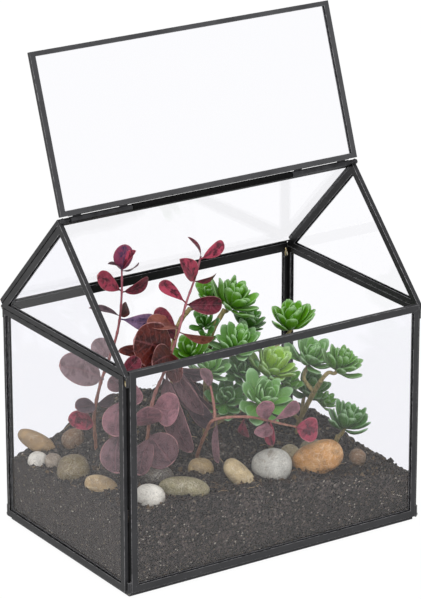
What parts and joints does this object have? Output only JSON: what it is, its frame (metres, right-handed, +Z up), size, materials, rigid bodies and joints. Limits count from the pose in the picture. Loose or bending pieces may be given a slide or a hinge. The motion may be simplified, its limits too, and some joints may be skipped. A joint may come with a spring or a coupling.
{
  "type": "glass plant terrarium",
  "caption": "House-shaped glass case in black metal channel, its front roof hinged open, with soil, pebbles, a burgundy-leaved plant and a green rosette succulent.",
  "frame": {"origin": "middle of the base, on the surface it stands on", "axes": "+X along the long side to the right, +Y from the opening front to the back, +Z up"},
  "size_m": [0.252, 0.17, 0.3663],
  "materials": {
    "channel": "satin black paint, a little worn, with solder at the corners",
    "hinge": "black painted tube and rod",
    "glass": "clear, faintly cool",
    "solder": "bright solder, partly painted over",
    "red_leaf": "waxy burgundy leaf and stem",
    "green_leaf": "waxy green leaf with a pale bloom at the tips",
    "green_stem": "olive-brown woody stem",
    "pebble": "smooth river pebble",
    "soil": "dark crumbly potting soil"
  },
  "bodies": {
    "case": {"floor_frame": "channel", "floor_glass": "glass", "front_frame": "channel", "front_glass": "glass", "back_frame": "channel", "back_glass": "glass", "left_end_frame": "channel", "left_end_glass": "glass", "left_gable_frame": "channel", "left_gable_glass": "glass", "right_end_frame": "channel", "right_end_glass": "glass", "right_gable_frame": "channel", "right_gable_glass": "glass", "roof_frame": "channel", "roof_glass": "glass", "hinge_rod": "hinge", "red_stem_left": "red_leaf", "red_stem_middle": "red_leaf", "red_stem_corner": "red_leaf", "red_stem_trailing": "red_leaf", "rosette_top": "green_leaf", "rosette_behind": "green_leaf", "rosette_back": "green_leaf", "rosette_middle": "green_leaf", "rosette_high": "green_leaf", "rosette_bright": "green_leaf", "rosette_blue": "green_leaf", "rosette_spiky": "green_leaf", "rosette_low": "green_leaf", "rosette_shaded": "green_leaf", "rosette_front": "green_leaf", "rosette_dark": "green_leaf", "rosette_left": "green_leaf", "green_stem_right": "green_stem", "green_stem_left": "green_stem", "green_stem_back": "green_stem", "green_stem_low": "green_stem", "pebble_tan_long": "pebble", "pebble_white_left": "pebble", "pebble_grey_left": "pebble", "pebble_olive_left": "pebble", "pebble_brown_left": "pebble", "pebble_tan_left": "pebble", "pebble_white_front": "pebble", "pebble_olive_front": "pebble", "pebble_dark": "pebble", "pebble_tan_back": "pebble", "pebble_beige": "pebble", "pebble_light_grey": "pebble", "pebble_grey_tan": "pebble", "pebble_orange": "pebble", "pebble_olive_back": "pebble", "pebble_brown_right": "pebble", "soil": "soil"},
    "lid": {"lid_frame": "channel", "lid_glass": "glass", "hinge_tube_left": "hinge", "hinge_tube_right": "hinge"}
  },
  "joints": [
    {"name": "lid_hinge", "type": "hinge", "parent": "case", "child": "lid", "pos_m": [0, -0.0016, 0.254], "axis": [1, 0, 0], "range_deg": [0, 154.7]}
  ]
}
